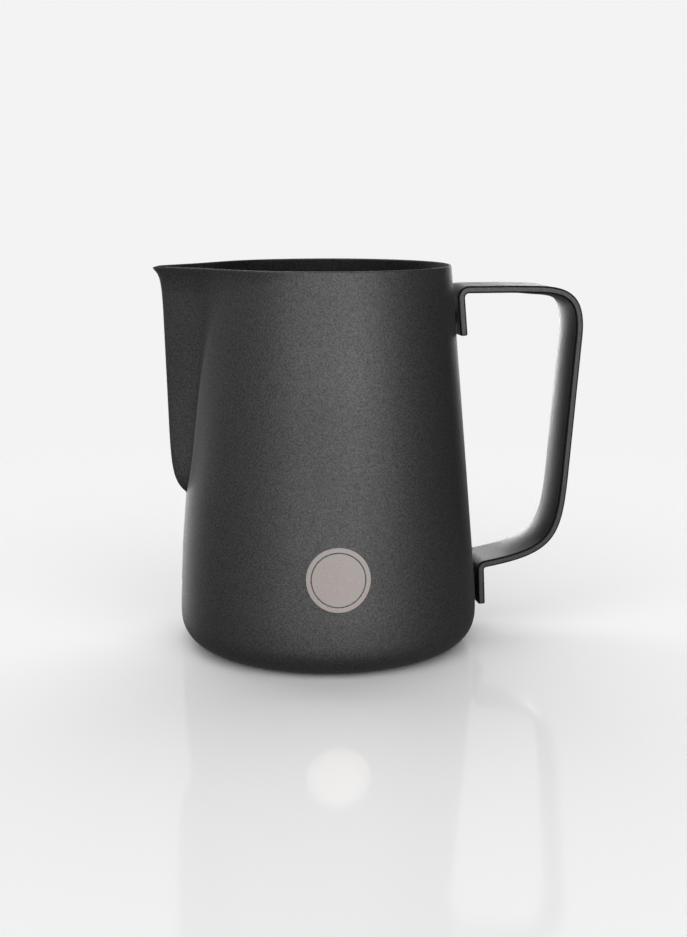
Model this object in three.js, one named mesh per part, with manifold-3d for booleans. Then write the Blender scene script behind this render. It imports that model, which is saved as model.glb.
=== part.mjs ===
// Milk frothing pitcher: a drawn steel cup, a V-shaped spout welded into its wall,
// and a strap handle spot-welded on the other side.
// Millimetres, +Z up. The origin is the centre of the flat underside, the handle
// points along +X and the spout along -X.
import * as THREE from 'three';
import { mergeVertices } from 'three/addons/utils/BufferGeometryUtils.js';
import Module from 'manifold-3d';

const wasm = await Module();
wasm.setup();

const DEG = Math.PI / 180;

// ---- driving dimensions ----

// Cup: a straight cone wall that runs into a flat floor through three tangent arcs.
const HEIGHT = 111.3;
const WIDEST_RADIUS = 44;
const SHEET = 0.8;
const CONE_ANGLE = 4.95 * DEG;
const BLEND_RADIUS = 91;
const EASE_RADIUS = 24.7;
const EASE_ANGLE = 5.6 * DEG;
const CORNER_RADIUS = 8.4;
const AROUND = 72;

// Spout: the keel's side view, and the V of the opening that it is welded into.
const TOE_HEIGHT = 44.7;
const TOE_REACH = 41.2;
const TOE_ANGLE = 38.4 * DEG;
const KEEL_LOW = { reach: 46.7, height: 65.7 };
const KEEL_HIGH = { reach: 47.57, height: 96.8 };
const TIP_REACH = 50.4;
const TIP_ANGLE = 58 * DEG;
// How far each curve of the keel holds its direction before it bends away.
const TOE_HOLD = 5.5;
const KEEL_LOW_HOLD = 15;
const KEEL_HIGH_HOLD = 12;
const TIP_HOLD = 3.4;
const KEEL_ROUNDING = 1.2;
const CREASE_SPREAD = 0.108;
const CREASE_ROOT = 0.58;
const WELD_GAP = 0.3;
// Places across the spout, as a share of half its width, close together at the keel.
const SPOUT_STEPS = [-1, -0.7, -0.42, -0.2, 0, 0.2, 0.42, 0.7, 1];
// Rises above the toe at which the edge of the opening gets a point.
const OPENING_RISES = [0, 0.4, 1.2, 3, 6, 12, 24, 40, 55];
const OPENING_OVERSHOOT = 2;
const OPENING_NEAR = 25;
const OPENING_FAR = 55;

// Handle: a flat bar, bent to a D with a tab at each end.
const STRAP_WIDTH = 17.2;
const STRAP_THICKNESS = 2.1;
const STRAP_EDGE = 0.4;
const TAB_CLEARANCE = 0.25;
const TOP_RUN_HEIGHT = 105.2;
const UPPER_TAB_END = 90.8;
const UPPER_BEND_RADIUS = 2.3;
const LOWER_TAB_END = 9.8;
const LOWER_TAB_LEAN = 2.5 * DEG;
const LOWER_BEND_RADIUS = 1.8;
const LOWER_TAB_LENGTH = 12;
const GRIP_LEAN = 4.27 * DEG;
const GRIP_TOP = { x: 73.5, z: 90 };
const GRIP_LENGTH = 37.6;
const TOP_RUN_END = 52.6;
const TOP_RUN_FALL = 0.03;
const LOW_RUN_START = { x: 47.8, z: 22.35 };
const LOW_RUN_ANGLE = 9.6 * DEG;
// How far the strap holds its direction into the two big bends, before and after each.
const SHOULDER_HOLDS = [13.4, 15.5];
const ELBOW_HOLDS = [21.8, 21.1];
const BEND_STEPS = { small: 6, big: 14 };

// Spot welds: flat nuggets between the tabs and the wall.
const NUGGET_RADIUS = 2;
const NUGGET_SPACING = 8;
const NUGGET_GAP = 0.05;
const NUGGET_ROD = 3;
const NUGGET_SIDES = 20;
const UPPER_NUGGET_HEIGHT = 96;
const LOWER_NUGGET_HEIGHT = 13.5;

// ---- materials ----

const coatedSteel = new THREE.MeshStandardMaterial({ color: 0x3b3b3c, roughness: 0.62, metalness: 0.1 });
const weldMetal = new THREE.MeshStandardMaterial({ color: 0x8e8c88, roughness: 0.45, metalness: 1 });

// ---- solids ----

function toSolid(geometry) {
  const bare = geometry.index ? geometry.clone() : geometry;
  bare.deleteAttribute('normal');
  bare.deleteAttribute('uv');
  const merged = mergeVertices(bare, 1e-3);
  const corners = merged.index.array;
  const triangles = [];
  for (let i = 0; i < corners.length; i += 3) {
    const [a, b, c] = corners.slice(i, i + 3);
    if (a !== b && b !== c && c !== a) triangles.push(a, b, c);
  }
  return new wasm.Manifold(new wasm.Mesh({
    numProp: 3,
    vertProperties: new Float32Array(merged.attributes.position.array),
    triVerts: new Uint32Array(triangles),
  }));
}

function toGeometry(solid) {
  const mesh = solid.getMesh();
  const geometry = new THREE.BufferGeometry();
  geometry.setAttribute('position', new THREE.BufferAttribute(mesh.vertProperties, 3));
  geometry.setIndex(new THREE.BufferAttribute(mesh.triVerts, 1));
  geometry.computeVertexNormals();
  return geometry;
}

function namedMesh(name, geometry, material) {
  const mesh = new THREE.Mesh(geometry, material);
  mesh.name = name;
  return mesh;
}

// A closed body through rings of points, all with the same number of points.
// Every ring is made of an outer line followed by the inner line walked back.
function loftedSheet(rings) {
  const count = rings[0].length;
  const half = count / 2;
  const faces = [];
  for (let row = 0; row + 1 < rings.length; row += 1) {
    for (let i = 0; i < count; i += 1) {
      const a = row * count + i;
      const b = row * count + (i + 1) % count;
      faces.push(a, b + count, b, a, a + count, b + count);
    }
  }
  const top = (rings.length - 1) * count;
  for (let i = 0; i + 1 < half; i += 1) {
    const back = count - 1 - i;
    faces.push(i, back - 1, back, i, i + 1, back - 1);
    faces.push(top + i, top + back, top + back - 1, top + i, top + back - 1, top + i + 1);
  }
  const geometry = new THREE.BufferGeometry();
  geometry.setAttribute('position', new THREE.Float32BufferAttribute(rings.flat(2), 3));
  geometry.setIndex(faces);
  geometry.computeVertexNormals();
  return geometry;
}

function at(point, direction, distance) {
  return point.clone().addScaledVector(direction, distance);
}

// ---- cup ----

const widestHeight = EASE_RADIUS * Math.sin(EASE_ANGLE) + CORNER_RADIUS * (1 - Math.sin(EASE_ANGLE));
const coneStart = {
  radius: WIDEST_RADIUS - BLEND_RADIUS * (1 - Math.cos(CONE_ANGLE)),
  height: widestHeight + BLEND_RADIUS * Math.sin(CONE_ANGLE),
};

// Outer radius of the cone part of the wall.
function coneRadius(height) {
  return coneStart.radius - (height - coneStart.height) * Math.tan(CONE_ANGLE);
}

// The wall's side view from the axis to the rim, moved into the sheet by the inset.
function cupProfile(inset) {
  const easeCentre = WIDEST_RADIUS - EASE_RADIUS;
  const cornerCentre = easeCentre + (EASE_RADIUS - CORNER_RADIUS) * Math.cos(EASE_ANGLE);
  const path = new THREE.Path();
  path.moveTo(0, inset);
  path.lineTo(cornerCentre, inset);
  path.absarc(cornerCentre, CORNER_RADIUS, CORNER_RADIUS - inset, -Math.PI / 2, -EASE_ANGLE);
  path.absarc(easeCentre, widestHeight, EASE_RADIUS - inset, -EASE_ANGLE, 0);
  path.absarc(WIDEST_RADIUS - BLEND_RADIUS, widestHeight, BLEND_RADIUS - inset, 0, CONE_ANGLE);
  path.lineTo(coneRadius(HEIGHT) - inset / Math.cos(CONE_ANGLE), HEIGHT);
  const points = path.getPoints(3);
  return points.filter((point, i) => i === 0 || point.distanceTo(points[i - 1]) > 0.01);
}

function turned(profile) {
  return new THREE.LatheGeometry(profile, AROUND).rotateX(Math.PI / 2);
}

function wholeCup() {
  return turned([...cupProfile(0), ...cupProfile(SHEET).reverse()]);
}

// ---- spout ----

// Half the width of the opening in the wall, seen from the spout's side.
function creaseHalfWidth(height) {
  const rise = height - TOE_HEIGHT;
  return CREASE_SPREAD * rise + CREASE_ROOT * Math.sqrt(rise);
}

// Side view of the keel: a short rounded toe, a straight run and a lip that flares at the tip.
function keelCurve() {
  const toe = new THREE.Vector2(TOE_REACH, TOE_HEIGHT);
  const low = new THREE.Vector2(KEEL_LOW.reach, KEEL_LOW.height);
  const high = new THREE.Vector2(KEEL_HIGH.reach, KEEL_HIGH.height);
  const tip = new THREE.Vector2(TIP_REACH, HEIGHT);
  const run = high.clone().sub(low).normalize();
  const toeRun = new THREE.Vector2(Math.cos(TOE_ANGLE), Math.sin(TOE_ANGLE));
  const tipRun = new THREE.Vector2(Math.cos(TIP_ANGLE), Math.sin(TIP_ANGLE));
  const curve = new THREE.CurvePath();
  curve.add(new THREE.CubicBezierCurve(toe, at(toe, toeRun, TOE_HOLD), at(low, run, -KEEL_LOW_HOLD), low));
  curve.add(new THREE.LineCurve(low, high));
  curve.add(new THREE.CubicBezierCurve(high, at(high, run, KEEL_HIGH_HOLD), at(tip, tipRun, -TIP_HOLD), tip));
  return curve.getPoints(12);
}

// One level section of the spout's sheet: a rounded V outside, and inside it the same V
// moved in by the sheet, no deeper than the cup's own inner wall.
function spoutSection([keelReach, height]) {
  const radius = coneRadius(height);
  const crease = creaseHalfWidth(height);
  const depth = keelReach - Math.sqrt(radius ** 2 - crease ** 2);
  const slope = Math.sqrt((depth + KEEL_ROUNDING) ** 2 - KEEL_ROUNDING ** 2) / crease;
  const sheetAlongX = SHEET * Math.hypot(1, slope);
  const edge = crease - WELD_GAP;
  const outside = [];
  const inside = [];
  for (const step of SPOUT_STEPS) {
    const y = edge * step;
    const reach = keelReach + KEEL_ROUNDING - Math.hypot(slope * y, KEEL_ROUNDING);
    const cupInside = Math.sqrt((radius - SHEET) ** 2 - y ** 2);
    outside.push([-reach, y, height]);
    inside.push([-Math.max(reach - sheetAlongX, cupInside), y, height]);
  }
  return [...outside, ...inside.reverse()];
}

function spoutGeometry() {
  const keel = keelCurve().map((point) => [point.x, point.y]);
  const wideEnough = keel.filter(([, height]) => height > TOE_HEIGHT && creaseHalfWidth(height) > 2 * WELD_GAP);
  return loftedSheet(wideEnough.map(spoutSection));
}

// The wedge of wall that is cut away behind the spout.
function spoutOpening() {
  const outline = new THREE.Shape();
  const levels = [...OPENING_RISES, HEIGHT + OPENING_OVERSHOOT - TOE_HEIGHT];
  const right = levels.map((rise) => new THREE.Vector2(creaseHalfWidth(TOE_HEIGHT + rise), TOE_HEIGHT + rise));
  const left = right.slice(1).reverse().map((point) => new THREE.Vector2(-point.x, point.y));
  outline.setFromPoints([...right, ...left]);
  const cut = new THREE.ExtrudeGeometry(outline, { depth: OPENING_FAR - OPENING_NEAR, bevelEnabled: false });
  return cut.rotateX(Math.PI / 2).rotateZ(-Math.PI / 2).translate(-OPENING_NEAR, 0, 0);
}

// ---- handle ----

// Arc that rounds the corner between two straight runs of the strap.
function roundedCorner(before, corner, after, radius) {
  const back = before.clone().sub(corner).normalize();
  const ahead = after.clone().sub(corner).normalize();
  const halfAngle = back.angleTo(ahead) / 2;
  const centre = back.clone().add(ahead).normalize();
  centre.multiplyScalar(radius / Math.sin(halfAngle)).add(corner);
  const start = corner.clone().addScaledVector(back, radius / Math.tan(halfAngle));
  const end = corner.clone().addScaledVector(ahead, radius / Math.tan(halfAngle));
  const startAngle = start.clone().sub(centre).angle();
  const endAngle = end.clone().sub(centre).angle();
  const clockwise = back.cross(ahead) > 0;
  const curve = new THREE.EllipseCurve(centre.x, centre.y, radius, radius, startAngle, endAngle, clockwise);
  return { start, end, curve };
}

const half = STRAP_THICKNESS / 2;
const tabOffset = TAB_CLEARANCE + half;

// Middle of the strap's thickness, in the upright plane through the spout and the handle.
function strapCurves() {
  const topHeight = TOP_RUN_HEIGHT - half;
  const upperEnd = new THREE.Vector2(coneRadius(UPPER_TAB_END) + tabOffset, UPPER_TAB_END);
  const upperCorner = new THREE.Vector2(coneRadius(topHeight) + tabOffset, topHeight);
  const topEnd = new THREE.Vector2(TOP_RUN_END, topHeight);
  const gripRun = new THREE.Vector2(Math.sin(GRIP_LEAN), Math.cos(GRIP_LEAN));
  const gripTop = new THREE.Vector2(GRIP_TOP.x, GRIP_TOP.z);
  const gripBottom = gripTop.clone().addScaledVector(gripRun, -GRIP_LENGTH);
  const lowStart = new THREE.Vector2(LOW_RUN_START.x, LOW_RUN_START.z);
  const lowRun = new THREE.Vector2(Math.cos(LOW_RUN_ANGLE), Math.sin(LOW_RUN_ANGLE));
  const lowerEnd = new THREE.Vector2(WIDEST_RADIUS + tabOffset, LOWER_TAB_END);
  const tabRun = new THREE.Vector2(-Math.sin(LOWER_TAB_LEAN), Math.cos(LOWER_TAB_LEAN));
  const lowerTabTop = at(lowerEnd, tabRun, LOWER_TAB_LENGTH);
  const drop = (lowStart.x - lowerTabTop.x) * Math.tan(LOW_RUN_ANGLE);
  const lowerCorner = new THREE.Vector2(lowerTabTop.x, lowStart.y - drop);
  const upperBend = roundedCorner(upperEnd, upperCorner, topEnd, UPPER_BEND_RADIUS);
  const lowerBend = roundedCorner(lowStart, lowerCorner, lowerEnd, LOWER_BEND_RADIUS);
  const outward = new THREE.Vector2(1, -TOP_RUN_FALL).normalize();
  const shoulder = [at(topEnd, outward, SHOULDER_HOLDS[0]), at(gripTop, gripRun, SHOULDER_HOLDS[1])];
  const elbow = [at(gripBottom, gripRun, -ELBOW_HOLDS[0]), at(lowStart, lowRun, ELBOW_HOLDS[1])];
  return [
    new THREE.LineCurve(upperEnd, upperBend.start),
    upperBend.curve,
    new THREE.LineCurve(upperBend.end, topEnd),
    new THREE.CubicBezierCurve(topEnd, ...shoulder, gripTop),
    new THREE.LineCurve(gripTop, gripBottom),
    new THREE.CubicBezierCurve(gripBottom, ...elbow, lowStart),
    new THREE.LineCurve(lowStart, lowerBend.start),
    lowerBend.curve,
    new THREE.LineCurve(lowerBend.end, lowerEnd),
  ];
}

function strapGeometry() {
  const leftSide = [];
  const rightSide = [];
  strapCurves().forEach((curve, index) => {
    const bendSteps = curve.isEllipseCurve ? BEND_STEPS.small : BEND_STEPS.big;
    const steps = curve.isLineCurve ? 1 : bendSteps;
    for (let step = index === 0 ? 0 : 1; step <= steps; step += 1) {
      const point = curve.getPoint(step / steps);
      const tangent = curve.getTangent(step / steps);
      const normal = new THREE.Vector2(-tangent.y, tangent.x).multiplyScalar(half);
      leftSide.push(point.clone().add(normal));
      rightSide.push(point.clone().sub(normal));
    }
  });
  const outline = new THREE.Shape([...leftSide, ...rightSide.reverse()]);
  const bar = new THREE.ExtrudeGeometry(outline, {
    depth: STRAP_WIDTH - 2 * STRAP_EDGE,
    bevelSize: STRAP_EDGE,
    bevelThickness: STRAP_EDGE,
    bevelOffset: -STRAP_EDGE,
    bevelSegments: 2,
  });
  return bar.rotateX(Math.PI / 2).translate(0, STRAP_WIDTH / 2 - STRAP_EDGE, 0);
}

// ---- spot welds ----

// A short round nugget, square to the tab and trimmed to the curve of the wall.
function nuggetGeometry(height, side, lean, tabFace) {
  const rod = new THREE.CylinderGeometry(NUGGET_RADIUS, NUGGET_RADIUS, NUGGET_ROD, NUGGET_SIDES);
  rod.rotateZ(Math.PI / 2).translate(-NUGGET_ROD / 2 - NUGGET_GAP, 0, 0).rotateY(-lean);
  rod.translate(tabFace, side * NUGGET_SPACING / 2, height);
  const wall = turned([...cupProfile(-NUGGET_GAP), new THREE.Vector2(0, HEIGHT)]);
  return toGeometry(toSolid(rod).subtract(toSolid(wall)));
}

// ---- assembly ----

const cup = toGeometry(toSolid(wholeCup()).subtract(toSolid(spoutOpening())));
const pitcher = new THREE.Group();
pitcher.add(namedMesh('body_shell', cup, coatedSteel));
pitcher.add(namedMesh('spout', spoutGeometry(), coatedSteel.clone()));

const handle = new THREE.Group();
handle.add(namedMesh('handle_strap', strapGeometry(), coatedSteel.clone()));
const upperFace = coneRadius(UPPER_NUGGET_HEIGHT) + TAB_CLEARANCE / Math.cos(CONE_ANGLE);
const lowerFace = WIDEST_RADIUS + TAB_CLEARANCE
  - (LOWER_NUGGET_HEIGHT - LOWER_TAB_END) * Math.tan(LOWER_TAB_LEAN);
for (const [sideName, side] of [['left', 1], ['right', -1]]) {
  const upper = nuggetGeometry(UPPER_NUGGET_HEIGHT, side, CONE_ANGLE, upperFace);
  const lower = nuggetGeometry(LOWER_NUGGET_HEIGHT, side, LOWER_TAB_LEAN, lowerFace);
  handle.add(namedMesh(`upper_weld_${sideName}`, upper, weldMetal.clone()));
  handle.add(namedMesh(`lower_weld_${sideName}`, lower, weldMetal.clone()));
}
pitcher.add(handle);

export default pitcher;
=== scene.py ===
import math

import bpy
import numpy as np
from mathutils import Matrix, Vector


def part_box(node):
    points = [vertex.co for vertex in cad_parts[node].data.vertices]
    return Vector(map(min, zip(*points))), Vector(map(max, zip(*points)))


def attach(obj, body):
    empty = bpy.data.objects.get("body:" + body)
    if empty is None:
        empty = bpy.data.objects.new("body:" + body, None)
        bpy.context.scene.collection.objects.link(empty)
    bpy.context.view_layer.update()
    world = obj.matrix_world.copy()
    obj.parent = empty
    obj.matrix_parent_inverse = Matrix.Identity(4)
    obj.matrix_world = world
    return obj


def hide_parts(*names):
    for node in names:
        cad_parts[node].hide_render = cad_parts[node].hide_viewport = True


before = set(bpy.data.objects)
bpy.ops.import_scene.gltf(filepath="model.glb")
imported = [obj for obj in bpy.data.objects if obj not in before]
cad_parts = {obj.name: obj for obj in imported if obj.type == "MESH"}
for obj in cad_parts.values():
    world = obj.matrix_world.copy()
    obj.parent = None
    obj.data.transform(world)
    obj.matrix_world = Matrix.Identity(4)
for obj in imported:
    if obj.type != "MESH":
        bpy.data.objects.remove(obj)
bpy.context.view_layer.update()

MM = 0.001
DEG = math.pi / 180

# ---- driving dimensions, from the frame where it has them ----

body_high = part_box("body_shell")[1] / MM
spout_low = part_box("spout")[0] / MM
strap_low, strap_high = (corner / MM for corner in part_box("handle_strap"))

# Cup: a straight cone wall that runs into a flat floor through three tangent arcs.
HEIGHT = body_high.z
COATING_THICKNESS = 0.15
WIDEST_RADIUS = body_high.y + COATING_THICKNESS
SHEET = 0.8
CONE_ANGLE = 4.95 * DEG
BLEND_RADIUS = 91
EASE_RADIUS = 24.7
EASE_ANGLE = 5.6 * DEG
CORNER_RADIUS = 8.4

# Spout: side view of the keel. The holds are how far the curve keeps its direction at each of its ends.
TOE_HEIGHT = 44.7
TOE_REACH = 41.2
TOE_ANGLE = 38.4 * DEG
TOE_HOLD = 5.5
TOE_UNDERRUN = 12
KEEL_LOW = np.array([46.7, 65.7])
KEEL_LOW_HOLD = 15
KEEL_HIGH = np.array([47.57, 96.8])
KEEL_HIGH_HOLD = 12
TIP_REACH = -spout_low.x
TIP_ANGLE = 58 * DEG
TIP_HOLD = 3.4

# The V's sides run along X this many times as far as across: a quadratic in the rise above the toe.
V_SLOPE = 2.45
V_SLOPE_FALL = 0.0372
V_SLOPE_EASE = 0.00027

# The keel is rounded, more so in the lip, and less on the inside of the sheet.
KEEL_ROUNDING = 1.2
TIP_ROUNDING = 2.6
LIP_HEIGHT = 103
INSIDE_ROUNDING = 0.5

# The very tip bends down, beyond this reach and above this height.
TIP_DROOP = 0.37
DROOP_REACH = 48
DROOP_SPAN = 2.4
DROOP_HEIGHT = 105

# Width of the fillet between spout and wall: almost none at the toe, and wide only just below the rim.
MELT_AT_TOE = 0.5
MELT_AT_RIM = 6.5
MELT_POWER = 5

# Half the distance between the two welds, by the rise above the toe; below the toe the columns fan out.
WELD_SPREAD = 0.108
WELD_ROOT = 0.58
LEAST_WELD_ANGLE = 2.5 * DEG
FAN_ANGLE = 12 * DEG
FAN_DEPTH = 30

# The wall bows out a little below the toe.
BULGE = 0.6
BULGE_FOOT = 11
BULGE_RISE = 22
BULGE_END = TOE_HEIGHT + 14
BULGE_FALL = 16
BULGE_HALF_ANGLE = 60 * DEG

# Handle: a flat bar, bent to a D with a tab at each end.
STRAP_WIDTH = strap_high.y - strap_low.y
STRAP_THICKNESS = 2.1
STRAP_EDGE = 0.5
# The inner face of the grip is crowned; the crown grows over this run along X.
STRAP_CROWN = 0.8
CROWN_START = 50
CROWN_RUN = 12
TAB_CLEARANCE = 0.25
TOP_RUN_HEIGHT = strap_high.z
UPPER_TAB_END = 90.8
UPPER_BEND_RADIUS = 2.3
LOWER_TAB_END = strap_low.z
LOWER_TAB_LEAN = 2.5 * DEG
LOWER_TAB_LENGTH = 12
LOWER_BEND_RADIUS = 1.8
GRIP_LEAN = 4.27 * DEG
GRIP_TOP = np.array([73.5, 90])
GRIP_LENGTH = 37.6
TOP_RUN_END = 52.6
TOP_RUN_FALL = 0.03
LOW_RUN_START = np.array([47.8, 22.35])
LOW_RUN_ANGLE = 9.6 * DEG
# How far the strap holds its direction into the two big bends, before and after each.
SHOULDER_HOLDS = (13.4, 15.5)
ELBOW_HOLDS = (21.8, 21.1)

# Round mark on the side of the wall, with one thin ring in it.
MARK_RADIUS = 8.9
MARK_HEIGHT = 28.5
MARK_AZIMUTH = -94.7 * DEG
MARK_THICKNESS = 0.03
MARK_DEPTH = 0.1
MARK_RING = (0.82, 0.86)


# ---- mesh helpers ----

def vertex_normals(points, faces):
    """Normals of a mesh's points, each face counted by its area."""
    normals = np.zeros_like(points)
    for face in faces:
        corners = points[list(face)]
        area_normal = np.cross(corners[2] - corners[0], corners[-1] - corners[1])
        if len(face) == 3:
            area_normal = np.cross(corners[1] - corners[0], corners[2] - corners[0])
        for corner in face:
            normals[corner] += area_normal
    lengths = np.linalg.norm(normals, axis=1, keepdims=True)
    return normals / np.maximum(lengths, 1e-12)


def mesh_object(name, points, faces, normals, flat_faces=()):
    """A Blender object from points in millimetres. Flat faces come last and keep their own normal."""
    used = sorted({corner for face in [*faces, *flat_faces] for corner in face})
    new_index = {old: new for new, old in enumerate(used)}
    shown = [[new_index[corner] for corner in face] for face in [*faces, *flat_faces]]
    mesh = bpy.data.meshes.new(name)
    mesh.from_pydata((points[used] * MM).tolist(), [], shown)
    mesh.polygons.foreach_set("use_smooth", [True] * len(shown))
    mesh.update()
    loop_normals = [normals[corner] for face in faces for corner in face]
    for polygon in list(mesh.polygons)[len(faces):]:
        loop_normals += [tuple(polygon.normal)] * polygon.loop_total
    mesh.normals_split_custom_set([tuple(normal) for normal in loop_normals])
    piece = bpy.data.objects.new(name, mesh)
    bpy.context.scene.collection.objects.link(piece)
    return piece


def bezier(points, count):
    """Points along a cubic Bezier curve."""
    a, b, c, d = (np.asarray(point, float) for point in points)
    t = np.linspace(0, 1, count)[:, None]
    return (1 - t) ** 3 * a + 3 * (1 - t) ** 2 * t * b + 3 * (1 - t) * t ** 2 * c + t ** 3 * d


def direction(angle):
    return np.array([math.cos(angle), math.sin(angle)])


def arc(centre, radius, start, end, count):
    angles = np.linspace(start, end, count)
    return np.stack([centre[0] + radius * np.cos(angles), centre[1] + radius * np.sin(angles)], -1)


def smooth_step(value):
    value = np.clip(value, 0, 1)
    return value * value * (3 - 2 * value)


# ---- cup and spout: one surface, cut into two pieces along the weld ----

EASE_CENTRE = WIDEST_RADIUS - EASE_RADIUS
CORNER_CENTRE = EASE_CENTRE + (EASE_RADIUS - CORNER_RADIUS) * math.cos(EASE_ANGLE)
WIDEST_HEIGHT = EASE_RADIUS * math.sin(EASE_ANGLE) + CORNER_RADIUS * (1 - math.sin(EASE_ANGLE))
CONE_START_RADIUS = WIDEST_RADIUS - BLEND_RADIUS * (1 - math.cos(CONE_ANGLE))
CONE_START_HEIGHT = WIDEST_HEIGHT + BLEND_RADIUS * math.sin(CONE_ANGLE)

SPOUT_COLUMNS = 52
BODY_COLUMNS = 150
# How strongly the body's columns crowd towards the weld: 0 for evenly spaced.
BUNCHING = 0.8
RIM_STEPS = 8
KEEL_STEPS = 40
BASE_START = 3
BASE_END = CORNER_CENTRE - 1.5
BASE_RINGS = 9
FOOT_STEPS = {"corner": 15, "ease": 4, "blend": 5}
# Levels of the rows above the foot as (lowest, highest, count). They are close at the toe and below the rim.
WALL_ROWS = [
    (19, 41.5, 10),
    (TOE_HEIGHT - 2, TOE_HEIGHT + 5.5, 26),
    (TOE_HEIGHT + 6.2, KEEL_LOW[1], 20),
    (KEEL_LOW[1] + 1.2, KEEL_HIGH[1], 24),
    (KEEL_HIGH[1] + 0.7, HEIGHT - SHEET / 2, 24),
]
# Beyond this cosine of the angle from the spout's direction there is only the round wall.
SPOUT_SIDE_END = 0.1


def cone_radius(height):
    return CONE_START_RADIUS - (height - CONE_START_HEIGHT) * math.tan(CONE_ANGLE)


def foot_profile(inset):
    """Side view of the cup from near the axis to the start of the cone, moved into the sheet by the inset."""
    base_reach = np.linspace(BASE_START, BASE_END, BASE_RINGS)
    base = np.stack([base_reach, np.full(BASE_RINGS, inset)], -1)
    corner_centre = (CORNER_CENTRE, CORNER_RADIUS)
    ease_centre = (EASE_CENTRE, WIDEST_HEIGHT)
    blend_centre = (WIDEST_RADIUS - BLEND_RADIUS, WIDEST_HEIGHT)
    down = -math.pi / 2
    corner = arc(corner_centre, CORNER_RADIUS - inset, down, -EASE_ANGLE, FOOT_STEPS["corner"])
    ease = arc(ease_centre, EASE_RADIUS - inset, -EASE_ANGLE, 0, FOOT_STEPS["ease"])
    blend = arc(blend_centre, BLEND_RADIUS - inset, 0, CONE_ANGLE, FOOT_STEPS["blend"])
    return np.concatenate([base, corner, ease[1:], blend[1:]])


def wall_heights():
    """Levels of all rows above the foot."""
    return np.concatenate([np.linspace(*rows) for rows in WALL_ROWS])


def keel_line():
    """Side view of the keel as (reach, height): a rounded toe, a straight run and a flared lip."""
    toe = np.array([TOE_REACH, TOE_HEIGHT])
    tip = np.array([TIP_REACH, HEIGHT])
    run = (KEEL_HIGH - KEEL_LOW) / np.linalg.norm(KEEL_HIGH - KEEL_LOW)
    below = toe - TOE_UNDERRUN * direction(TOE_ANGLE)
    toe_handle = toe + TOE_HOLD * direction(TOE_ANGLE)
    tip_handle = tip - TIP_HOLD * direction(TIP_ANGLE)
    rounded_toe = bezier([toe, toe_handle, KEEL_LOW - KEEL_LOW_HOLD * run, KEEL_LOW], KEEL_STEPS)
    lip = bezier([KEEL_HIGH, KEEL_HIGH + KEEL_HIGH_HOLD * run, tip_handle, tip], KEEL_STEPS)
    return np.concatenate([[below], rounded_toe, lip])


KEEL = keel_line()


def v_slope(rise):
    """How far the V runs along X for each millimetre across, less the higher it is above the toe."""
    rise = max(rise, 0)
    return V_SLOPE - V_SLOPE_FALL * rise + V_SLOPE_EASE * rise ** 2


def toe_bulge(angles, height):
    """How far the wall bows out below the toe. Angles are from -pi to pi."""
    up = smooth_step((height - BULGE_FOOT) / BULGE_RISE) * smooth_step((BULGE_END - height) / BULGE_FALL)
    return BULGE * up * smooth_step(1 - np.abs(angles) / BULGE_HALF_ANGLE)


def v_reach(angles, apex, rounding, slope):
    """Distance from the axis to the V's sides, which are a hyperbola: two planes with a rounded keel."""
    forward = np.cos(angles)
    across = np.sin(angles)
    size = apex ** 2 - rounding ** 2
    lean = apex * np.maximum(forward, 0)
    spread = forward ** 2 - (slope * across) ** 2
    reach = size / (lean + np.sqrt(np.maximum(lean ** 2 - spread * size, 0)) + 1e-9)
    # Past the angle at which a side is nearest to the axis it would move away again, so there it is mirrored.
    nearest = apex / math.hypot(1, slope)
    past_nearest = np.arctan2(np.abs(across), forward) > math.atan(slope)
    reach = np.where(past_nearest, 2 * nearest - reach, reach)
    return np.where(forward > SPOUT_SIDE_END, reach, 0)


def wall_reach(angles, height, inside):
    """Distance of the wall from the axis. Angles are measured from the spout's direction."""
    turned = np.arctan2(np.sin(angles), np.cos(angles))
    radius = cone_radius(height) + toe_bulge(turned, height)
    rise = height - TOE_HEIGHT
    keel = np.interp(height, KEEL[:, 1], KEEL[:, 0])
    lip_share = smooth_step((height - LIP_HEIGHT) / (HEIGHT - LIP_HEIGHT))
    rounding = KEEL_ROUNDING + (TIP_ROUNDING - KEEL_ROUNDING) * lip_share
    slope = v_slope(rise)
    apex = keel + rounding
    if inside:
        radius -= SHEET / math.cos(CONE_ANGLE)
        apex -= SHEET * math.hypot(1, slope)
        rounding *= INSIDE_ROUNDING
    spout_reach = v_reach(angles, apex, rounding, slope)
    share = max(rise, 0) / (HEIGHT - TOE_HEIGHT)
    melt = MELT_AT_TOE + (MELT_AT_RIM - MELT_AT_TOE) * share ** MELT_POWER
    overlap = np.maximum(melt - np.abs(spout_reach - radius), 0) / melt
    return np.maximum(spout_reach, radius) + overlap ** 2 * melt / 4


def weld_angle(height):
    """Angle from the spout's direction to the weld between spout and body."""
    rise = height - TOE_HEIGHT
    if rise <= 0:
        return LEAST_WELD_ANGLE + FAN_ANGLE * smooth_step(-rise / FAN_DEPTH)
    across = WELD_SPREAD * rise + WELD_ROOT * math.sqrt(rise)
    return max(math.asin(across / cone_radius(height)), LEAST_WELD_ANGLE)


def column_angles(height):
    """Angles of all columns, the spout's first, close together along the keel and the weld."""
    weld = weld_angle(height)
    step = np.arange(SPOUT_COLUMNS // 2 + 1) / (SPOUT_COLUMNS // 2)
    half = weld * 0.5 * (1 - np.cos(math.pi * step))
    share = np.arange(1, BODY_COLUMNS) / BODY_COLUMNS
    share -= BUNCHING * np.sin(2 * math.pi * share) / (2 * math.pi)
    return np.concatenate([-half[:0:-1], half, weld + share * (2 * math.pi - 2 * weld)])


def ring(angles, reach, height):
    return np.stack([-reach * np.cos(angles), -reach * np.sin(angles), np.full(len(angles), height)], -1)


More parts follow.
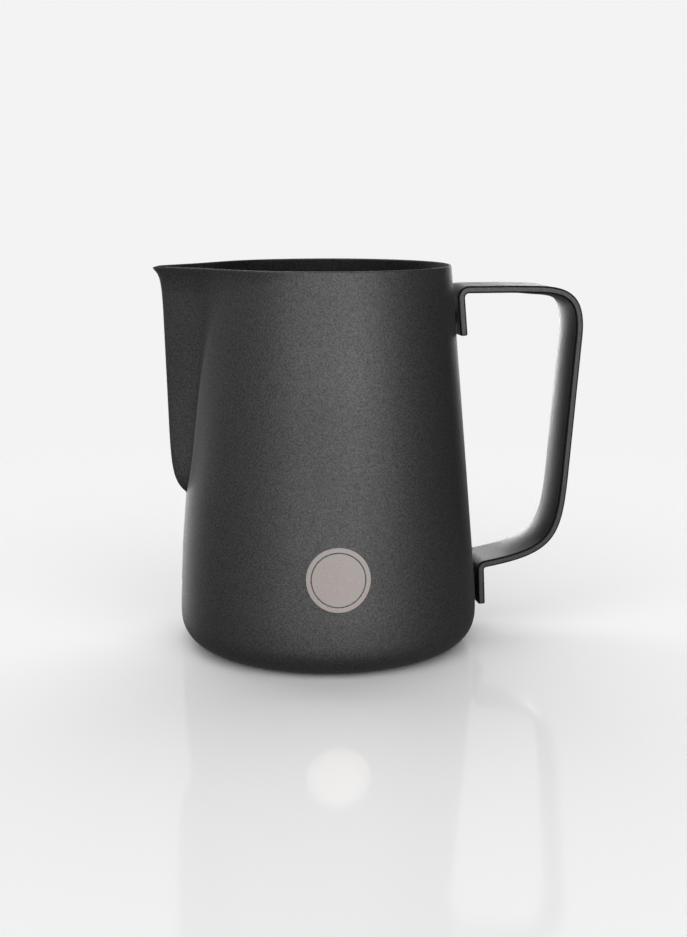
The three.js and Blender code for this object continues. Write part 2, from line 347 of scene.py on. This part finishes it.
def drooped(points):
    """Bends the very tip of the lip down."""
    share = smooth_step((np.hypot(points[:, 0], points[:, 1]) - DROOP_REACH) / DROOP_SPAN)
    share *= smooth_step((points[:, 2] - DROOP_HEIGHT) / (HEIGHT - DROOP_HEIGHT))
    lowered = points.copy()
    lowered[:, 2] -= TIP_DROOP * share
    return lowered


def sheet_rows(inside):
    """Rings of points from the middle of the floor to the rim."""
    inset = SHEET if inside else 0
    rows = []
    for radius, height in foot_profile(inset):
        angles = column_angles(height)
        rows.append(ring(angles, np.full(len(angles), radius), height))
    for height in wall_heights():
        angles = column_angles(height)
        rows.append(drooped(ring(angles, wall_reach(angles, height, inside), height)))
    return rows


def vessel_grid():
    """Rings from the middle of the underside, up the outside, over the rounded edge and down the inside."""
    outside = sheet_rows(False)
    inside = sheet_rows(True)
    middle = (outside[-1] + inside[-1]) / 2
    half = (outside[-1] - inside[-1]) / 2
    up = np.array([0, 0, SHEET / 2])
    edge = []
    for step in range(1, RIM_STEPS):
        angle = math.pi * step / RIM_STEPS
        edge.append(middle + half * math.cos(angle) + up * math.sin(angle))
    return np.array([*outside, *edge, *inside[::-1]])


def build_vessel():
    """Cup and spout: faces between neighbouring rings. The spout's are those between the two welds."""
    grid = vessel_grid()
    rows, columns, _ = grid.shape
    points = np.concatenate([grid.reshape(-1, 3), [[0, 0, 0], [0, 0, SHEET]]])
    under, upper = rows * columns, rows * columns + 1

    def at(row, column):
        return row * columns + column % columns

    def quad(row, column):
        return at(row, column), at(row, column + 1), at(row + 1, column + 1), at(row + 1, column)

    toe_row = len(foot_profile(0)) + int(np.sum(wall_heights() < TOE_HEIGHT))
    last_row = rows - 1 - toe_row
    spout_faces = []
    body_faces = []
    for row in range(rows - 1):
        for column in range(columns):
            on_spout = column < SPOUT_COLUMNS and toe_row <= row < last_row
            (spout_faces if on_spout else body_faces).append(quad(row, column))
    for column in range(columns):
        body_faces.append((under, at(0, column + 1), at(0, column)))
        body_faces.append((upper, at(rows - 1, column), at(rows - 1, column + 1)))
    normals = vertex_normals(points, [*spout_faces, *body_faces])

    def weld_walls(flip):
        """Faces across the sheet's thickness, along both sides of the spout and under its toe."""
        walls = []
        for column, turned in ((0, False), (SPOUT_COLUMNS, True)):
            for row in range(toe_row, (rows - 1) // 2):
                pair = rows - 1 - row
                face = [at(row, column), at(row + 1, column), at(pair - 1, column), at(pair, column)]
                face = list(dict.fromkeys(face))
                walls.append(face[::-1] if turned != flip else face)
        for column in range(SPOUT_COLUMNS):
            near = [at(toe_row, column), at(last_row, column)]
            far = [at(last_row, column + 1), at(toe_row, column + 1)]
            walls.append([*near, *far][::-1] if flip else [*near, *far])
        return walls

    spout = mesh_object("spout_skin", points, spout_faces, normals, weld_walls(False))
    body = mesh_object("body_skin", points, body_faces, normals, weld_walls(True))
    # The rows past the rounded edge are the inside, which gets the second material: a duller copy of the
    # coating that paints the shade inside the cup.
    first_inside = (rows + RIM_STEPS) // 2 * columns
    for piece, faces in ((body, body_faces), (spout, spout_faces)):
        for polygon, face in zip(piece.data.polygons, faces):
            polygon.material_index = int(min(face) >= first_inside)
    return body, spout


# ---- handle ----

SMALL_BEND_STEPS = 12
BIG_BEND_STEPS = 44
TAB_STEPS = 8
GRIP_STEPS = 16
LOWER_RUN_STEPS = 4
END_STEPS = 5
LEAST_EDGE = 0.02
EDGE_POINTS = 6
CROWN_POINTS = 15


def rounded_corner(before, corner, after, radius, count):
    """Arc that rounds the corner between two straight runs."""
    back = (before - corner) / np.linalg.norm(before - corner)
    ahead = (after - corner) / np.linalg.norm(after - corner)
    half_angle = math.acos(np.clip(back @ ahead, -1, 1)) / 2
    middle = (back + ahead) / np.linalg.norm(back + ahead)
    centre = corner + middle * radius / math.sin(half_angle)
    start = corner + back * radius / math.tan(half_angle) - centre
    end = corner + ahead * radius / math.tan(half_angle) - centre
    start_angle = math.atan2(start[1], start[0])
    turn = math.atan2(start[0] * end[1] - start[1] * end[0], start @ end)
    return arc(centre, radius, start_angle, start_angle + turn, count)


def strap_line():
    """Middle of the strap's thickness as (x, z), from the upper tab's end to the lower tab's."""
    half = STRAP_THICKNESS / 2
    offset = TAB_CLEARANCE + half
    top_height = TOP_RUN_HEIGHT - half
    upper_end = np.array([cone_radius(UPPER_TAB_END) + offset, UPPER_TAB_END])
    upper_corner = np.array([cone_radius(top_height) + offset, top_height])
    top_end = np.array([TOP_RUN_END, top_height])
    grip_run = direction(math.pi / 2 - GRIP_LEAN)
    grip_bottom = GRIP_TOP - GRIP_LENGTH * grip_run
    low_run = direction(LOW_RUN_ANGLE)
    lower_end = np.array([WIDEST_RADIUS + offset, LOWER_TAB_END])
    lower_tab_top = lower_end + LOWER_TAB_LENGTH * direction(math.pi / 2 + LOWER_TAB_LEAN)
    drop = (LOW_RUN_START[0] - lower_tab_top[0]) * math.tan(LOW_RUN_ANGLE)
    lower_corner = np.array([lower_tab_top[0], LOW_RUN_START[1] - drop])
    upper_bend = rounded_corner(upper_end, upper_corner, top_end, UPPER_BEND_RADIUS, SMALL_BEND_STEPS)
    lower_bend = rounded_corner(LOW_RUN_START, lower_corner, lower_end, LOWER_BEND_RADIUS, SMALL_BEND_STEPS)
    outward = np.array([1, -TOP_RUN_FALL]) / math.hypot(1, TOP_RUN_FALL)
    into_shoulder = top_end + SHOULDER_HOLDS[0] * outward
    out_of_shoulder = GRIP_TOP + SHOULDER_HOLDS[1] * grip_run
    shoulder = bezier([top_end, into_shoulder, out_of_shoulder, GRIP_TOP], BIG_BEND_STEPS)
    into_elbow = grip_bottom - ELBOW_HOLDS[0] * grip_run
    out_of_elbow = LOW_RUN_START + ELBOW_HOLDS[1] * low_run
    elbow = bezier([grip_bottom, into_elbow, out_of_elbow, LOW_RUN_START], BIG_BEND_STEPS)
    upper_tab = np.linspace(upper_end, upper_bend[0], TAB_STEPS)
    top_run = np.linspace(upper_bend[-1], top_end, TAB_STEPS)
    grip = np.linspace(GRIP_TOP, grip_bottom, GRIP_STEPS)
    lower_run = np.linspace(LOW_RUN_START, lower_bend[0], LOWER_RUN_STEPS)
    lower_tab = np.linspace(lower_bend[-1], lower_end, TAB_STEPS)
    parts = [upper_tab, upper_bend, top_run, shoulder, grip, elbow, lower_run, lower_bend, lower_tab]
    line = np.concatenate(parts)
    steps = np.linalg.norm(np.diff(line, axis=0), axis=1)
    return line[np.concatenate([[True], steps > 1e-3])]


def strap_section(inset, crown):
    """Rounded rectangle as (across the thickness, along Y), smaller by the inset, its inner face crowned."""
    radius = max(STRAP_EDGE - inset, LEAST_EDGE)
    thick = STRAP_THICKNESS / 2 - STRAP_EDGE
    wide = STRAP_WIDTH / 2 - STRAP_EDGE
    right = math.pi / 2
    outline = []
    for quarter, centre in enumerate([(thick, wide), (-thick, wide), (-thick, -wide), (thick, -wide)]):
        outline.append(arc(centre, radius, quarter * right, (quarter + 1) * right, EDGE_POINTS))
    across = np.linspace(-wide, wide, CROWN_POINTS)[1:-1]
    bulge = crown * (1 - (across / wide) ** 2)
    inner_face = np.stack([STRAP_THICKNESS / 2 - inset + bulge, across], -1)
    return np.concatenate([*outline, inner_face])


def strap_ring(place, tangent, inset):
    """The strap's section at one place of its line, square to the line there."""
    crown = STRAP_CROWN * smooth_step((place[0] - CROWN_START) / CROWN_RUN)
    section = strap_section(inset, crown)
    normal = np.array([tangent[1], -tangent[0]])
    x = place[0] + section[:, 0] * normal[0]
    z = place[1] + section[:, 0] * normal[1]
    return np.stack([x, section[:, 1], z], -1)


def rounded_end(end, inward):
    """Places and insets of the rings that round off an end; inward is the direction into the strap."""
    steps = []
    for step in range(END_STEPS):
        angle = math.pi / 2 * step / END_STEPS
        place = end + inward * STRAP_EDGE * (1 - math.cos(angle))
        steps.append((place, STRAP_EDGE * (1 - math.sin(angle))))
    return steps


def build_strap():
    """The strap's section swept along its line, rounded off at both ends."""
    line = strap_line()
    tangents = np.gradient(line, axis=0)
    tangents /= np.linalg.norm(tangents, axis=1, keepdims=True)
    first = tangents[0]
    last = tangents[-1]
    from_start = np.linalg.norm(line - line[0], axis=1)
    from_end = np.linalg.norm(line - line[-1], axis=1)
    inner = (from_start > STRAP_EDGE) & (from_end > STRAP_EDGE)
    rings = [strap_ring(place, first, inset) for place, inset in rounded_end(line[0], first)]
    rings.append(strap_ring(line[0] + first * STRAP_EDGE, first, 0))
    rings += [strap_ring(place, tangent, 0) for place, tangent in zip(line[inner], tangents[inner])]
    rings.append(strap_ring(line[-1] - last * STRAP_EDGE, last, 0))
    rings += [strap_ring(place, last, inset) for place, inset in rounded_end(line[-1], -last)[::-1]]

    count = len(rings[0])
    points = np.concatenate(rings)
    faces = []
    for row in range(len(rings) - 1):
        for i in range(count):
            a = row * count + i
            b = row * count + (i + 1) % count
            faces.append((a, b, b + count, a + count))
    ends = [tuple(range(count))[::-1], tuple(range(len(points) - count, len(points)))]
    normals = vertex_normals(points, faces)
    strap = mesh_object("handle_strap_skin", points, faces, normals, ends)
    # The faces along the four rounded edges get the second material, a duller copy of the coating that paints
    # shade along them as dark lines.
    for i in range(len(faces)):
        place = i % count
        on_edge = place < 4 * EDGE_POINTS and place % EDGE_POINTS < EDGE_POINTS - 1
        strap.data.polygons[i].material_index = int(on_edge)
    return strap


# ---- round mark ----

MARK_SIDES = 96
# Circles of the disc as shares of its radius: within the ring, outside it, and the hidden one in the wall.
MARK_INNER_SHARES = np.linspace(0.9 / MARK_RADIUS, 0.8, 8)
MARK_OUTER_SHARES = np.linspace(0.88, 1, 4)
MARK_BACK_SHARE = 1.002


def build_mark():
    """A thin disc that follows the curve of the wall, with one plain ring let into it."""
    shares = np.concatenate([MARK_INNER_SHARES, MARK_RING, MARK_OUTER_SHARES])
    angles = np.arange(MARK_SIDES) * 2 * math.pi / MARK_SIDES

    def on_wall(across, up, proud):
        height = MARK_HEIGHT + up * math.cos(CONE_ANGLE)
        radius = cone_radius(height) + proud
        turn = MARK_AZIMUTH + across / cone_radius(height)
        return [radius * math.cos(turn), radius * math.sin(turn), height]

    def circle(share, proud):
        radius = share * MARK_RADIUS
        return [on_wall(radius * math.cos(angle), radius * math.sin(angle), proud) for angle in angles]

    points = [on_wall(0, 0, MARK_THICKNESS)]
    for share in shares:
        points += circle(share, MARK_THICKNESS)
    points += circle(MARK_BACK_SHARE, -MARK_DEPTH)
    points = np.array(points)
    faces = [(0, 1 + i, 1 + (i + 1) % MARK_SIDES) for i in range(MARK_SIDES)]
    for row in range(len(shares)):
        for i in range(MARK_SIDES):
            a = 1 + row * MARK_SIDES + i
            b = 1 + row * MARK_SIDES + (i + 1) % MARK_SIDES
            faces.append((a, a + MARK_SIDES, b + MARK_SIDES, b))
    first_back = len(points) - MARK_SIDES
    back = [tuple(range(first_back, first_back + MARK_SIDES))[::-1]]
    normals = vertex_normals(points, faces[:-MARK_SIDES])
    mark = mesh_object("round_mark", points, faces, normals, back)
    # The band between the two radii of the ring gets the second material.
    ring_start = MARK_SIDES * (1 + len(MARK_INNER_SHARES))
    for polygon in list(mark.data.polygons)[ring_start:ring_start + MARK_SIDES]:
        polygon.material_index = 1
    return mark


# ---- materials ----

# Scales of the noise, per metre.
GRAIN_SCALE = 2200
SWELL_SCALE = 700
CLOUD_SCALE = 30
BLOTCH_SCALE = 900
# Noise values between these two are spread over the whole of a range.
NOISE_LOW = 0.3
NOISE_HIGH = 0.7
COATING_TONES = ((0.001, 0.001, 0.001), (0.005, 0.005, 0.005))
PRINT_TONES = ((0.137, 0.117, 0.109), (0.168, 0.146, 0.135))
WELD_TONES = ((0.012, 0.011, 0.010), (0.03, 0.028, 0.026))
PRINT_ROUGHNESS = (0.5, 0.6)
WELD_ROUGHNESS = (0.5, 0.7)
# Strength and height of the bumps, the height in metres.
GRAIN_BUMP = (0.6, 0.00008)
SWELL_BUMP = (0.2, 0.00008)
PRINT_BUMP = (0.2, 0.00004)
WELD_BUMP = (0.3, 0.00005)
# Name: range of gloss, range of roughness. The inside and the strap's edges are duller than the rest, as
# painted shade: the dark inside of the cup and dark lines along the strap's rounded edges.
COATINGS = {
    "powder_coating": ((0.34, 0.66), (0.57, 0.61)),
    "powder_coating_inside_painted_shade": ((0.12, 0.3), (0.65, 0.75)),
    "powder_coating_handle": ((0.28, 0.58), (0.53, 0.57)),
    "powder_coating_edges_painted_shade": ((0.03, 0.08), (0.5, 0.55)),
}


def new_material(name):
    material = bpy.data.materials.new(name)
    material.use_nodes = True
    tree = material.node_tree
    shader = tree.nodes["Principled BSDF"]
    place = tree.nodes.new("ShaderNodeTexCoord")
    return material, tree, shader, place.outputs["Object"]


def add_noise(tree, place, scale, detail):
    noise = tree.nodes.new("ShaderNodeTexNoise")
    noise.inputs["Scale"].default_value = scale
    noise.inputs["Detail"].default_value = detail
    tree.links.new(place, noise.inputs["Vector"])
    return noise.outputs["Fac"]


def add_range(tree, value, low, high):
    """Maps a noise value to a range of numbers."""
    spread = tree.nodes.new("ShaderNodeMapRange")
    spread.inputs["From Min"].default_value = NOISE_LOW
    spread.inputs["From Max"].default_value = NOISE_HIGH
    spread.inputs["To Min"].default_value = low
    spread.inputs["To Max"].default_value = high
    tree.links.new(value, spread.inputs["Value"])
    return spread.outputs["Result"]


def add_colours(tree, value, low, high):
    """Maps a noise value to a colour between two colours."""
    ramp = tree.nodes.new("ShaderNodeValToRGB")
    ramp.color_ramp.elements[0].position = NOISE_LOW
    ramp.color_ramp.elements[0].color = (*low, 1)
    ramp.color_ramp.elements[1].position = NOISE_HIGH
    ramp.color_ramp.elements[1].color = (*high, 1)
    tree.links.new(value, ramp.inputs["Fac"])
    return ramp.outputs["Color"]


def add_bump(tree, value, strength, distance, before=None):
    """Bumps from a noise value, on top of the bumps from before."""
    bump = tree.nodes.new("ShaderNodeBump")
    bump.inputs["Strength"].default_value = strength
    bump.inputs["Distance"].default_value = distance
    tree.links.new(value, bump.inputs["Height"])
    if before is not None:
        tree.links.new(before, bump.inputs["Normal"])
    return bump.outputs["Normal"]


def coating_material(name):
    """Matt charcoal powder coating: a fine sandy texture with slight variation in tone."""
    gloss, roughness = COATINGS[name]
    material, tree, shader, place = new_material(name)
    grain = add_noise(tree, place, GRAIN_SCALE, 2)
    swell = add_noise(tree, place, SWELL_SCALE, 1)
    cloud = add_noise(tree, place, CLOUD_SCALE, 3)
    tree.links.new(add_colours(tree, grain, *COATING_TONES), shader.inputs["Base Color"])
    tree.links.new(add_range(tree, grain, *gloss), shader.inputs["Specular IOR Level"])
    tree.links.new(add_range(tree, cloud, *roughness), shader.inputs["Roughness"])
    fine = add_bump(tree, grain, *GRAIN_BUMP)
    tree.links.new(add_bump(tree, swell, *SWELL_BUMP, fine), shader.inputs["Normal"])
    return material


def mark_material():
    """Warm grey print on top of the coating, which it follows."""
    material, tree, shader, place = new_material("mark_print")
    grain = add_noise(tree, place, GRAIN_SCALE, 2)
    tree.links.new(add_colours(tree, grain, *PRINT_TONES), shader.inputs["Base Color"])
    tree.links.new(add_range(tree, grain, *PRINT_ROUGHNESS), shader.inputs["Roughness"])
    tree.links.new(add_bump(tree, grain, *PRINT_BUMP), shader.inputs["Normal"])
    return material


def weld_material():
    """Weld metal burnt nearly black under the coating."""
    material, tree, shader, place = new_material("weld_metal")
    blotch = add_noise(tree, place, BLOTCH_SCALE, 4)
    tree.links.new(add_colours(tree, blotch, *WELD_TONES), shader.inputs["Base Color"])
    tree.links.new(add_range(tree, blotch, *WELD_ROUGHNESS), shader.inputs["Roughness"])
    shader.inputs["Metallic"].default_value = 1
    tree.links.new(add_bump(tree, blotch, *WELD_BUMP), shader.inputs["Normal"])
    return material


def dress(piece, materials):
    """Gives a piece its materials; its faces already say which of them they use."""
    for material in materials:
        piece.data.materials.append(material)


# ---- studio ----

CAMERA_PLACE = (-62.20, -420.47, 134.03)
CAMERA_HEADING = 9.027 * DEG
CAMERA_DIP = 11.034 * DEG
CAMERA_LENS = 55.99
CAMERA_SENSOR = 36
CAMERA_NEAR = 10

# Panels of light stand on a circle round the pitcher. The turn starts at the camera and goes to the right.
# They stand for the room's light and, below the floor's level, for the light that comes off a bright table.
# The panels for the vessel alone cast no shadows, so the glow beside the spout is not cut off by the spout.
SOFTBOX_DISTANCE = 700
SOFTBOXES = [
    # name, turn, width, low edge, high edge, strength, what it lights
    ("front_left", -20, 247, 0, 300, 14.2, "all"),
    ("front_right", 20, 247, 0, 300, 20, "all"),
    ("front_right_wide", 40, 247, 0, 300, 4.8, "all"),
    ("side_left", -60, 247, 0, 300, 1.2, "all"),
    ("side_left_wide", -100, 247, 0, 300, 1.7, "all"),
    ("back_right", 160, 247, 0, 300, 9.5, "all"),
    ("back", 180, 184, 0, 150, 25, "all"),
    ("back_high", 180, 184, 150, 300, 2, "all"),
    ("back_left", -170, 184, -150, 100, 6.5, "handle"),
    ("back_below", 180, 184, -150, 0, 14, "vessel"),
    ("back_left_below", -150, 184, -150, 0, 9, "vessel"),
    ("side_left_below", -135, 184, -150, 0, 5.5, "vessel"),
]
# Panels overhead: name, distance behind the axis, distance to its right, strength.
TOP_BOXES = [
    ("top_back", 500, 0, 8.9),
    ("top_left", 0, -500, 10.7),
]
TOP_BOX_HEIGHT = 900
TOP_BOX_SIZE = 400
TOP_BOX_TARGET = (0, 0, 60)
WORLD_STRENGTH = 0.207

BACKDROP_RADIUS = 4000
BACKDROP_TONE = 0.896
FLOOR_RADIUS = 420
FLOOR_FADE_START = 180
FLOOR_FADE_END = 0.98 * FLOOR_RADIUS
FLOOR_TONE = 0.9
FLOOR_GLOSS = 0.35
FLOOR_ROUGHNESS = 0.08
# Distant lights for the floor: name, turn from the camera's side, height above the horizon, spread, strength.
FLOOR_SUNS = [
    ("floor_front", 0, 38, 90, 1.65),
    ("floor_back", 180, 35, 90, 2.2),
]


def build_camera():
    lens = bpy.data.cameras.new("camera")
    lens.lens = CAMERA_LENS
    lens.sensor_width = CAMERA_SENSOR
    lens.clip_start = CAMERA_NEAR * MM
    camera = bpy.data.objects.new("camera", lens)
    camera.location = [value * MM for value in CAMERA_PLACE]
    camera.rotation_euler = (math.pi / 2 - CAMERA_DIP, 0, -CAMERA_HEADING)
    bpy.context.scene.collection.objects.link(camera)
    bpy.context.scene.camera = camera


def add_panel(name, place, target, width, height, strength, receivers):
    """A soft panel of light that lights only the objects in the receivers' collection."""
    lamp_data = bpy.data.lights.new(name, "AREA")
    lamp_data.shape = "RECTANGLE"
    lamp_data.size = width * MM
    lamp_data.size_y = height * MM
    lamp_data.energy = strength * math.pi * width * height * MM * MM
    lamp = bpy.data.objects.new(name, lamp_data)
    lamp.location = [value * MM for value in place]
    towards = np.array(target, float) - np.array(place, float)
    lamp.rotation_euler = Vector(towards).to_track_quat("-Z", "Y").to_euler()
    lamp.visible_camera = False
    bpy.context.scene.collection.objects.link(lamp)
    lamp.light_linking.receiver_collection = receivers
    return lamp


def collection(name, things):
    """A collection for the pieces that a lamp lights; it is not part of the scene's own tree."""
    group = bpy.data.collections.new(name)
    for thing in things:
        group.objects.link(thing)
    return group


def build_lights(lit_pieces):
    camera_angle = math.atan2(CAMERA_PLACE[1], CAMERA_PLACE[0])
    for name, turn, width, low, high, strength, lit in SOFTBOXES:
        x, y = SOFTBOX_DISTANCE * direction(camera_angle + turn * DEG)
        middle = (low + high) / 2
        place = (x, y, middle)
        lamp = add_panel(name, place, (0, 0, middle), width, high - low, strength, lit_pieces[lit])
        lamp.data.use_shadow = lit != "vessel"
    for name, back, right, strength in TOP_BOXES:
        x, y = right * direction(camera_angle + math.pi / 2) - back * direction(camera_angle)
        place = (x, y, TOP_BOX_HEIGHT)
        add_panel(name, place, TOP_BOX_TARGET, TOP_BOX_SIZE, TOP_BOX_SIZE, strength, lit_pieces["all"])


def build_world():
    world = bpy.data.worlds.new("studio")
    world.use_nodes = True
    background = world.node_tree.nodes["Background"]
    background.inputs["Color"].default_value = (1, 1, 1, 1)
    background.inputs["Strength"].default_value = WORLD_STRENGTH
    bpy.context.scene.world = world


def seen_only_by_camera(thing):
    thing.visible_diffuse = False
    thing.visible_glossy = False
    thing.visible_transmission = False
    thing.visible_volume_scatter = False
    thing.visible_shadow = False


def build_backdrop():
    """A pale dome all round, which only the camera sees."""
    bpy.ops.mesh.primitive_uv_sphere_add(segments=48, ring_count=24, radius=BACKDROP_RADIUS * MM)
    dome = bpy.context.object
    dome.name = "backdrop"
    material = bpy.data.materials.new("backdrop")
    material.use_nodes = True
    nodes = material.node_tree.nodes
    nodes.clear()
    glow = nodes.new("ShaderNodeEmission")
    glow.inputs["Color"].default_value = (BACKDROP_TONE, BACKDROP_TONE, BACKDROP_TONE, 1)
    output = nodes.new("ShaderNodeOutputMaterial")
    material.node_tree.links.new(glow.outputs["Emission"], output.inputs["Surface"])
    dome.data.materials.append(material)
    seen_only_by_camera(dome)


def build_floor():
    """A pale glossy floor round the pitcher, which fades into the backdrop further out."""
    bpy.ops.mesh.primitive_circle_add(vertices=96, radius=FLOOR_RADIUS * MM, fill_type="NGON")
    floor = bpy.context.object
    floor.name = "floor"
    material = bpy.data.materials.new("floor")
    material.use_nodes = True
    tree = material.node_tree
    tree.nodes.clear()
    place = tree.nodes.new("ShaderNodeTexCoord").outputs["Object"]
    distance = tree.nodes.new("ShaderNodeVectorMath")
    distance.operation = "LENGTH"
    tree.links.new(place, distance.inputs[0])
    fade = tree.nodes.new("ShaderNodeMapRange")
    fade.interpolation_type = "SMOOTHSTEP"
    fade.inputs["From Min"].default_value = FLOOR_FADE_START * MM
    fade.inputs["From Max"].default_value = FLOOR_FADE_END * MM
    tree.links.new(distance.outputs["Value"], fade.inputs["Value"])
    matt = tree.nodes.new("ShaderNodeBsdfDiffuse")
    matt.inputs["Color"].default_value = (FLOOR_TONE, FLOOR_TONE, FLOOR_TONE, 1)
    gloss = tree.nodes.new("ShaderNodeBsdfGlossy")
    gloss.inputs["Color"].default_value = (FLOOR_GLOSS, FLOOR_GLOSS, FLOOR_GLOSS, 1)
    gloss.inputs["Roughness"].default_value = FLOOR_ROUGHNESS
    both = tree.nodes.new("ShaderNodeAddShader")
    tree.links.new(matt.outputs["BSDF"], both.inputs[0])
    tree.links.new(gloss.outputs["BSDF"], both.inputs[1])
    clear = tree.nodes.new("ShaderNodeBsdfTransparent")
    mix = tree.nodes.new("ShaderNodeMixShader")
    tree.links.new(fade.outputs["Result"], mix.inputs["Fac"])
    tree.links.new(both.outputs["Shader"], mix.inputs[1])
    tree.links.new(clear.outputs["BSDF"], mix.inputs[2])
    output = tree.nodes.new("ShaderNodeOutputMaterial")
    tree.links.new(mix.outputs["Shader"], output.inputs["Surface"])
    floor.data.materials.append(material)
    floor.visible_diffuse = False
    floor.visible_glossy = False
    floor.visible_shadow = False
    return floor


def add_floor_sun(name, turn, height_angle, spread, strength, floor_only):
    """A broad distant light for the floor alone, so that it is even outside the pitcher's soft shadows."""
    lamp_data = bpy.data.lights.new(name, "SUN")
    lamp_data.energy = strength
    lamp_data.angle = spread * DEG
    lamp = bpy.data.objects.new(name, lamp_data)
    around = math.atan2(CAMERA_PLACE[1], CAMERA_PLACE[0]) + turn * DEG
    up = height_angle * DEG
    source = Vector((math.cos(around) * math.cos(up), math.sin(around) * math.cos(up), math.sin(up)))
    lamp.rotation_euler = (-source).to_track_quat("-Z", "Y").to_euler()
    lamp.light_linking.receiver_collection = floor_only
    lamp.visible_glossy = False
    bpy.context.scene.collection.objects.link(lamp)


# ---- assembly ----

body, spout = build_vessel()
strap = build_strap()
mark = build_mark()
coating = coating_material("powder_coating")
# The inside coat is the same coating made duller, as painted shade inside the cup and the spout.
inside_shade_coating = coating_material("powder_coating_inside_painted_shade")
handle_coating = coating_material("powder_coating_handle")
# The edge coat is the same coating with almost no gloss, as painted shade along the strap's rounded edges.
edge_shade_coating = coating_material("powder_coating_edges_painted_shade")
dress(body, [coating, inside_shade_coating])
dress(spout, [coating, inside_shade_coating])
dress(strap, [handle_coating, edge_shade_coating])
dress(mark, [mark_material(), coating])
for piece, node in ((body, "body_shell"), (spout, "spout"), (strap, "handle_strap")):
    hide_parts(node)
    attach(piece, "root")
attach(mark, "root")
weld = weld_material()
for node in ("upper_weld_left", "upper_weld_right", "lower_weld_left", "lower_weld_right"):
    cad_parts[node].data.materials.clear()
    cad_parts[node].data.materials.append(weld)

lit_pieces = {
    "all": collection("object_pieces", [body, spout, strap, mark, *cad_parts.values()]),
    "vessel": collection("vessel_pieces", [body, spout, mark]),
    "handle": collection("handle_pieces", [strap]),
}

build_camera()
build_world()
build_lights(lit_pieces)
build_backdrop()
floor_only = collection("floor_only", [build_floor()])
for sun in FLOOR_SUNS:
    add_floor_sun(*sun, floor_only)
bpy.context.scene.view_settings.view_transform = "Standard"
